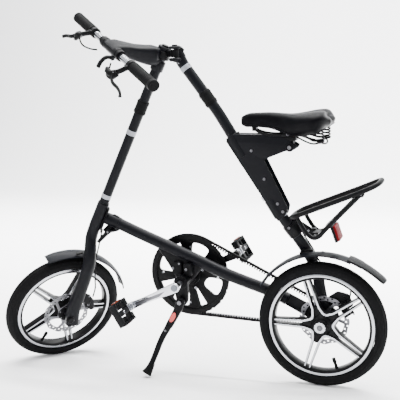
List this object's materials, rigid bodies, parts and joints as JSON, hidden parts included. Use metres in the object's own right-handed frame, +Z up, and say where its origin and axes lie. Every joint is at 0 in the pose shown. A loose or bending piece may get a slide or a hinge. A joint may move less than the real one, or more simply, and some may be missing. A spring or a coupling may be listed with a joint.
{
  "type": "folding bicycle",
  "caption": "Folding bicycle with a triangular tube frame, small wheels, toothed belt drive, disc brakes, rear rack, fenders and a side stand.",
  "frame": {"origin": "centre of the bounding box at ground level, under the bicycle as it leans on its side stand", "axes": "+X towards the rear wheel, along the frame; +Y towards the rider's right; +Z up"},
  "size_m": [1.2546, 0.5946, 1.1765],
  "materials": {
    "frame_paint": "satin dark slate lacquer",
    "black_metal": "satin black",
    "tyre_rubber": "matte",
    "soft_rubber": "matte",
    "black_plastic": "semi-matte",
    "polished_silver": "polished",
    "steel": "brushed",
    "black_alloy": "black anodised",
    "saddle_leather": "glossy grained",
    "red_lens": "clear red",
    "orange_lens": "clear orange"
  },
  "bodies": {
    "rear_frame": {"rear_tube": "frame_paint", "rear_dropout": "frame_paint", "rear_axle": "steel", "rear_caliper": "black_metal", "rear_fender": "black_plastic", "apex_yoke": "frame_paint", "rack_frame": "black_metal", "rack_clamp": "black_metal", "reflector_housing": "black_plastic", "reflector_lens": "red_lens"},
    "saddle": {"seat_bracket": "frame_paint", "saddle_clamp": "black_metal", "saddle_rails": "steel", "saddle_shell": "black_plastic", "saddle_cover": "saddle_leather"},
    "bottom": {"bottom_tube": "frame_paint", "steering_cup": "black_metal", "belt": "soft_rubber", "stand_pivot": "steel"},
    "latch": {"latch_lever": "black_metal"},
    "stand": {"stand_leg": "black_metal", "stand_foot": "soft_rubber"},
    "crankset": {"crank_spindle": "steel", "crank_left": "polished_silver", "crank_right": "black_alloy", "drive_pulley": "black_alloy"},
    "pedal_axle_left": {"pedal_knuckle_left": "polished_silver"},
    "pedal_axle_right": {"pedal_knuckle_right": "polished_silver"},
    "pedal_left": {"pedal_body_left": "black_plastic", "pedal_reflector_left": "orange_lens"},
    "pedal_right": {"pedal_body_right": "black_plastic", "pedal_reflector_right": "orange_lens"},
    "rear_wheel": {"rear_tyre": "tyre_rubber", "rear_rim": "black_alloy", "rear_rotor": "steel"},
    "sprocket": {"rear_sprocket": "black_alloy"},
    "swivel": {"apex_knuckle": "polished_silver", "head_bearing": "steel"},
    "front_frame": {"front_tube": "frame_paint", "stem": "frame_paint", "front_axle": "steel", "front_caliper": "black_metal", "front_fender": "black_plastic", "bar_sleeve": "black_alloy"},
    "front_wheel": {"front_tyre": "tyre_rubber", "front_rim": "black_alloy", "front_rotor": "steel"},
    "handlebar_left": {"bar_left": "polished_silver", "grip_left": "soft_rubber", "lever_bracket_left": "black_alloy", "cable_left": "soft_rubber"},
    "handlebar_right": {"bar_right": "polished_silver", "grip_right": "soft_rubber", "lever_bracket_right": "black_alloy", "cable_right": "soft_rubber"},
    "brake_lever_left": {"lever_blade_left": "black_alloy"},
    "brake_lever_right": {"lever_blade_right": "black_alloy"},
    "stem_clamp": {"clamp_lever": "black_alloy"}
  },
  "joints": [
    {"name": "frame_fold", "type": "hinge", "parent": "rear_frame", "child": "swivel", "pos_m": [-0.01066, 0.00032, 1.02765], "axis": [0, 0.1132, -0.9936], "range_deg": [-160, 0]},
    {"name": "steering", "type": "hinge", "parent": "swivel", "child": "front_frame", "pos_m": [-0.07512, 0.02933, 1.00269], "axis": [-0.4384, 0.1017, -0.893], "range_deg": [0, 100.6]},
    {"name": "front_wheel_spin", "type": "hinge", "parent": "front_frame", "child": "front_wheel", "pos_m": [-0.47685, 0.12255, 0.18436], "axis": [0.6915, -0.5965, -0.4074], "continuous": true},
    {"name": "handlebar_fold_left", "type": "hinge", "parent": "front_frame", "child": "handlebar_left", "pos_m": [-0.12172, -0.14014, 0.99893], "axis": [0.7082, 0.671, 0.2197], "range_deg": [0, 90], "deforming": ["cable_left"]},
    {"name": "handlebar_fold_right", "type": "hinge", "parent": "front_frame", "child": "handlebar_right", "pos_m": [-0.21908, -0.05616, 1.05629], "axis": [-0.7082, -0.671, -0.2197], "range_deg": [0, 90], "deforming": ["cable_right"]},
    {"name": "brake_lever_pull_left", "type": "hinge", "parent": "handlebar_left", "child": "brake_lever_left", "pos_m": [-0.10975, -0.22078, 0.95175], "axis": [-0.1423, 0.4405, -0.8864], "range_deg": [0, 20], "stiffness_Nm_per_rad": 0.6, "springref_deg": -20.05},
    {"name": "brake_lever_pull_right", "type": "hinge", "parent": "handlebar_right", "child": "brake_lever_right", "pos_m": [-0.3103, -0.05688, 1.08809], "axis": [0.376, -0.1844, 0.9081], "range_deg": [0, 20], "stiffness_Nm_per_rad": 0.6, "springref_deg": -20.05},
    {"name": "stem_clamp_turn", "type": "hinge", "parent": "front_frame", "child": "stem_clamp", "pos_m": [-0.14556, -0.15512, 1.00592], "axis": [-0.6915, 0.5965, 0.4074], "range_deg": [0, 95]},
    {"name": "saddle_height", "type": "slide", "parent": "rear_frame", "child": "saddle", "axis": [-0.5226, -0.0965, 0.8471], "range_m": [0, 0.08]},
    {"name": "rear_wheel_spin", "type": "hinge", "parent": "rear_frame", "child": "rear_wheel", "pos_m": [0.42734, 0.1209, 0.19897], "axis": [0, -0.9936, -0.1132], "continuous": true},
    {"name": "bottom_tube_fold", "type": "hinge", "parent": "rear_frame", "child": "bottom", "pos_m": [0.42734, 0.1209, 0.19897], "axis": [0, 0.9936, 0.1132], "range_deg": [0, 18]},
    {"name": "latch_turn", "type": "hinge", "parent": "bottom", "child": "latch", "pos_m": [-0.27866, 0.0781, 0.4598], "axis": [0, -0.9936, -0.1132], "range_deg": [0, 80]},
    {"name": "stand_fold", "type": "hinge", "parent": "bottom", "child": "stand", "pos_m": [-0.02166, 0.07031, 0.24554], "axis": [0, -0.9936, -0.1132], "range_deg": [0, 88]},
    {"name": "crank_spin", "type": "hinge", "parent": "bottom", "child": "crankset", "pos_m": [-0.02266, 0.10823, 0.31025], "axis": [0, -0.9936, -0.1132], "continuous": true},
    {"name": "sprocket_spin", "type": "hinge", "parent": "rear_frame", "child": "sprocket", "pos_m": [0.42734, 0.1209, 0.19897], "axis": [0, -0.9936, -0.1132], "continuous": true},
    {"name": "pedal_spin_left", "type": "hinge", "parent": "crankset", "child": "pedal_axle_left", "pos_m": [-0.17673, 0.11636, 0.23887], "axis": [0, -0.9936, -0.1132], "continuous": true},
    {"name": "pedal_spin_right", "type": "hinge", "parent": "crankset", "child": "pedal_axle_right", "pos_m": [0.13141, 0.10009, 0.38164], "axis": [0, -0.9936, -0.1132], "continuous": true},
    {"name": "pedal_fold_left", "type": "hinge", "parent": "pedal_axle_left", "child": "pedal_left", "pos_m": [-0.17673, 0.00707, 0.22642], "axis": [-0.5, -0.098, 0.8605], "range_deg": [0, 90]},
    {"name": "pedal_fold_right", "type": "hinge", "parent": "pedal_axle_right", "child": "pedal_right", "pos_m": [0.13141, 0.20939, 0.39409], "axis": [0.5, 0.098, -0.8605], "range_deg": [0, 90]}
  ],
  "couplings": [
    {"joint": "sprocket_spin", "follows": "crank_spin", "ratio": 3.8571}
  ]
}
